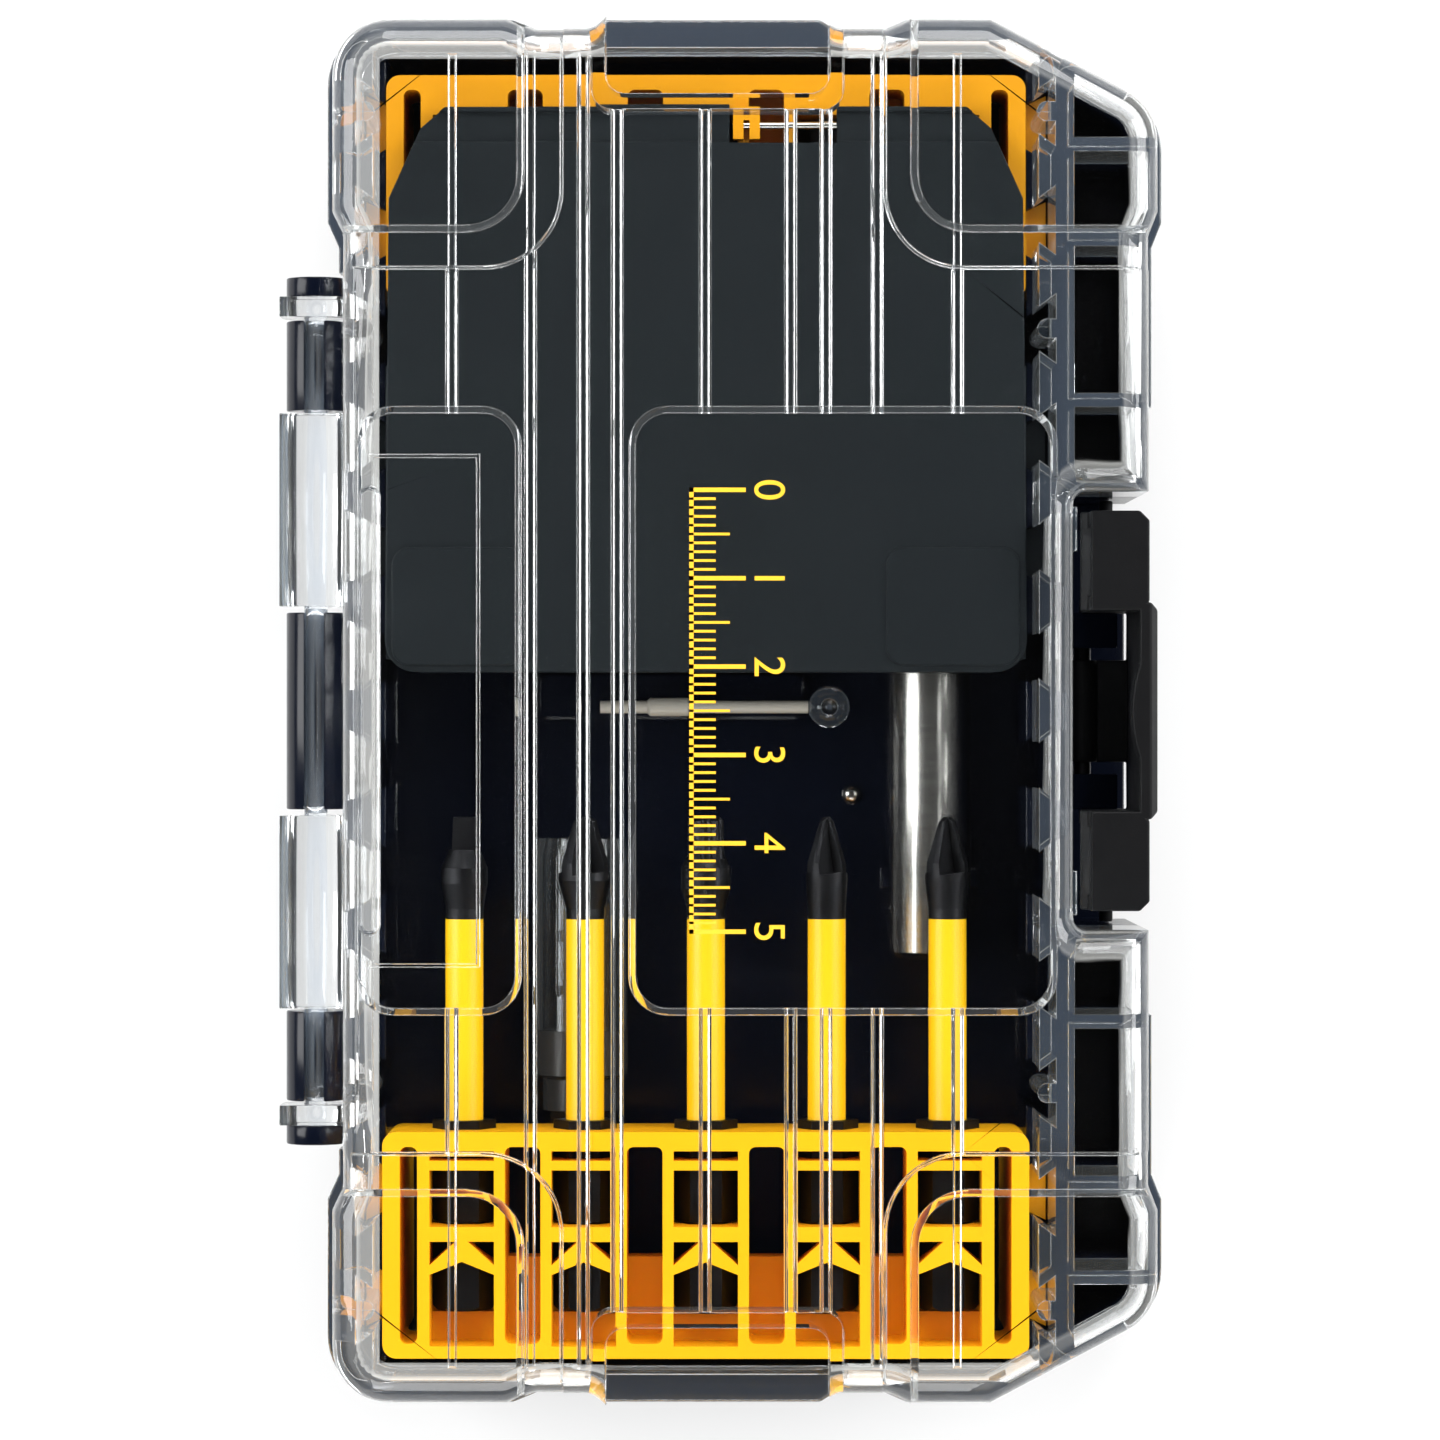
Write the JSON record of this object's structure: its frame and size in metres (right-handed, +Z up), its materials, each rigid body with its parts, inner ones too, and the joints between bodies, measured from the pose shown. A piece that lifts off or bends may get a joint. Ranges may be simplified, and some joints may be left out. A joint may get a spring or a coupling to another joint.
{
  "type": "screwdriver bit set",
  "caption": "Hinged, latched hand case with a dark base and a clear ribbed lid, holding sleeved driver bits in yellow bars with a bit holder and drive guide.",
  "frame": {"origin": "middle of the closed case's footprint, on the surface that it lies on", "axes": "+X from the hinge to the latch, +Y along the hinge towards the upper bar, +Z up out of the lid"},
  "size_m": [0.102, 0.1602, 0.041],
  "materials": {
    "base_plastic": "glossy navy-black moulded plastic",
    "clear_plastic": "clear moulded polycarbonate",
    "tube_plastic": "clear moulded plastic, slightly smoky",
    "latch_plastic": "black moulded plastic with a fine grain",
    "yellow_plastic": "bright yellow moulded plastic",
    "amber_plastic": "deeper yellow moulded plastic",
    "grey_plastic": "dark grey moulded plastic, fine matt grain",
    "bright_steel": "turned and plated steel",
    "dark_steel": "blackened steel",
    "magnet_metal": "plated magnet",
    "hub_plastic": "smoky dark plastic",
    "pale_plastic": "pale moulded plastic",
    "sleeve_yellow": "yellow plastic sleeve"
  },
  "bodies": {
    "base": {"base_shell": "base_plastic", "latch_pin": "dark_steel", "lower_bit_bar": "yellow_plastic", "upper_bit_bar": "amber_plastic", "compartment_cover": "grey_plastic", "bit_holder_barrel": "bright_steel", "bit_holder_shank": "bright_steel", "bit_holder_magnet": "magnet_metal", "guide_tube": "tube_plastic", "guide_hub": "hub_plastic", "guide_shank": "bright_steel", "retainer_pin": "pale_plastic", "retainer_head": "tube_plastic", "floor_rivet": "bright_steel", "clip_pin": "bright_steel", "insert_bit_1": "dark_steel", "insert_bit_2": "dark_steel", "insert_bit_3": "dark_steel", "insert_bit_4": "dark_steel", "insert_bit_5": "dark_steel"},
    "lid": {"lid_shell": "clear_plastic"},
    "latch": {"latch_lever": "latch_plastic"},
    "long_bit_1": {"bit_1": "dark_steel", "bit_1_sleeve": "sleeve_yellow"},
    "long_bit_2": {"bit_2": "dark_steel", "bit_2_sleeve": "sleeve_yellow"},
    "long_bit_3": {"bit_3": "dark_steel", "bit_3_sleeve": "sleeve_yellow"},
    "long_bit_4": {"bit_4": "dark_steel", "bit_4_sleeve": "sleeve_yellow"},
    "long_bit_5": {"bit_5": "dark_steel", "bit_5_sleeve": "sleeve_yellow"}
  },
  "joints": [
    {"name": "lid_hinge", "type": "hinge", "parent": "base", "child": "lid", "pos_m": [-0.0471, 0, 0.023], "axis": [0, -1, 0], "range_deg": [0, 180]},
    {"name": "latch_pivot", "type": "hinge", "parent": "base", "child": "latch", "pos_m": [0.0426, 0, 0.014], "axis": [0, 1, 0], "range_deg": [0, 95]},
    {"name": "bit_1_slide", "type": "slide", "parent": "base", "child": "long_bit_1", "axis": [0, 1, 0], "range_m": [0, 0.015]},
    {"name": "bit_2_slide", "type": "slide", "parent": "base", "child": "long_bit_2", "axis": [0, 1, 0], "range_m": [0, 0.015]},
    {"name": "bit_3_slide", "type": "slide", "parent": "base", "child": "long_bit_3", "axis": [0, 1, 0], "range_m": [0, 0.015]},
    {"name": "bit_4_slide", "type": "slide", "parent": "base", "child": "long_bit_4", "axis": [0, 1, 0], "range_m": [0, 0.015]},
    {"name": "bit_5_slide", "type": "slide", "parent": "base", "child": "long_bit_5", "axis": [0, 1, 0], "range_m": [0, 0.015]}
  ]
}
